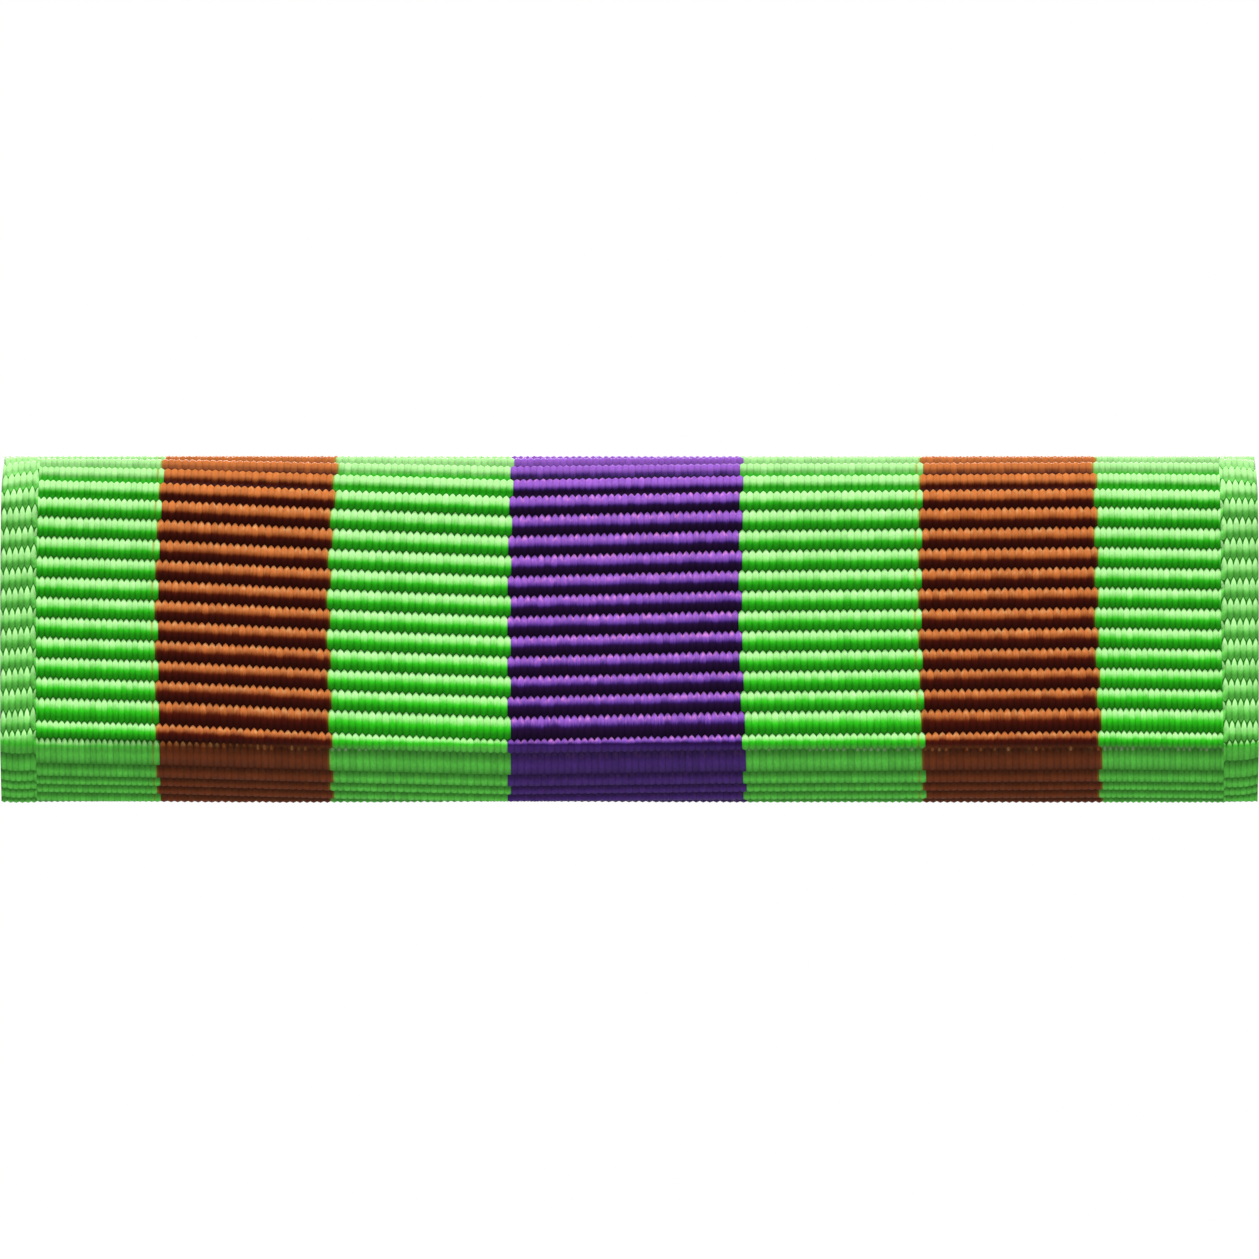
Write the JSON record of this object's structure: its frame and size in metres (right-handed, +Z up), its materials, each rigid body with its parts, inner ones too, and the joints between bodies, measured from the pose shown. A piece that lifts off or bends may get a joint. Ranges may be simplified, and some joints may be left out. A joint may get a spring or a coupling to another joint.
{
  "type": "service ribbon bar",
  "caption": "Striped woven ribbon on a sheet brass carrier that slides on a pinned mounting bar, held to a garment by two butterfly clutches.",
  "frame": {"origin": "centre of the mounting bar's garment face, midway between the two pins", "axes": "+X along the bar, -Y out of the ribbon's face, +Y along the pins towards the clutches, +Z up"},
  "size_m": [0.035, 0.0107, 0.0095],
  "materials": {
    "ribbon_cloth": "ribbed satin weave in green, brown and purple stripes",
    "carrier_brass": "rolled sheet, dull",
    "bar_nickel": "nickel plated sheet, brushed",
    "pin_steel": "drawn wire, polished",
    "clutch_brass": "stamped and tumbled",
    "spring_brass": "spring strip, lacquered"
  },
  "bodies": {
    "bar": {"mount_bar": "bar_nickel", "pin_left": "pin_steel", "pin_right": "pin_steel"},
    "ribbon_unit": {"ribbon": "ribbon_cloth", "ribbon_carrier": "carrier_brass"},
    "clutch_left": {"clutch_left_cap": "clutch_brass", "clutch_left_saddle": "spring_brass"},
    "clutch_left_outer_half": {"clutch_left_wing_outer": "spring_brass"},
    "clutch_left_inner_half": {"clutch_left_wing_inner": "spring_brass"},
    "clutch_right": {"clutch_right_cap": "clutch_brass", "clutch_right_saddle": "spring_brass"},
    "clutch_right_outer_half": {"clutch_right_wing_outer": "spring_brass"},
    "clutch_right_inner_half": {"clutch_right_wing_inner": "spring_brass"}
  },
  "joints": [
    {"name": "ribbon_slide", "type": "slide", "parent": "bar", "child": "ribbon_unit", "axis": [1, 0, 0], "range_m": [-0.033, 0.033]},
    {"name": "clutch_left_pull", "type": "slide", "parent": "bar", "child": "clutch_left", "axis": [0, 1, 0], "range_m": [-0.0016, 0.0065]},
    {"name": "clutch_left_squeeze", "type": "slide", "parent": "clutch_left", "child": "clutch_left_outer_half", "axis": [1, 0, 0], "range_m": [0, 0.0005], "stiffness_N_per_m": 4000},
    {"name": "clutch_left_squeeze_inner", "type": "slide", "parent": "clutch_left", "child": "clutch_left_inner_half", "axis": [-1, 0, 0], "range_m": [0, 0.0005], "stiffness_N_per_m": 4000},
    {"name": "clutch_right_pull", "type": "slide", "parent": "bar", "child": "clutch_right", "axis": [0, 1, 0], "range_m": [-0.0016, 0.0065]},
    {"name": "clutch_right_squeeze", "type": "slide", "parent": "clutch_right", "child": "clutch_right_outer_half", "axis": [-1, 0, 0], "range_m": [0, 0.0005], "stiffness_N_per_m": 4000},
    {"name": "clutch_right_squeeze_inner", "type": "slide", "parent": "clutch_right", "child": "clutch_right_inner_half", "axis": [1, 0, 0], "range_m": [0, 0.0005], "stiffness_N_per_m": 4000}
  ],
  "couplings": [
    {"joint": "clutch_left_squeeze_inner", "follows": "clutch_left_squeeze", "ratio": 1},
    {"joint": "clutch_right_squeeze_inner", "follows": "clutch_right_squeeze", "ratio": 1}
  ]
}
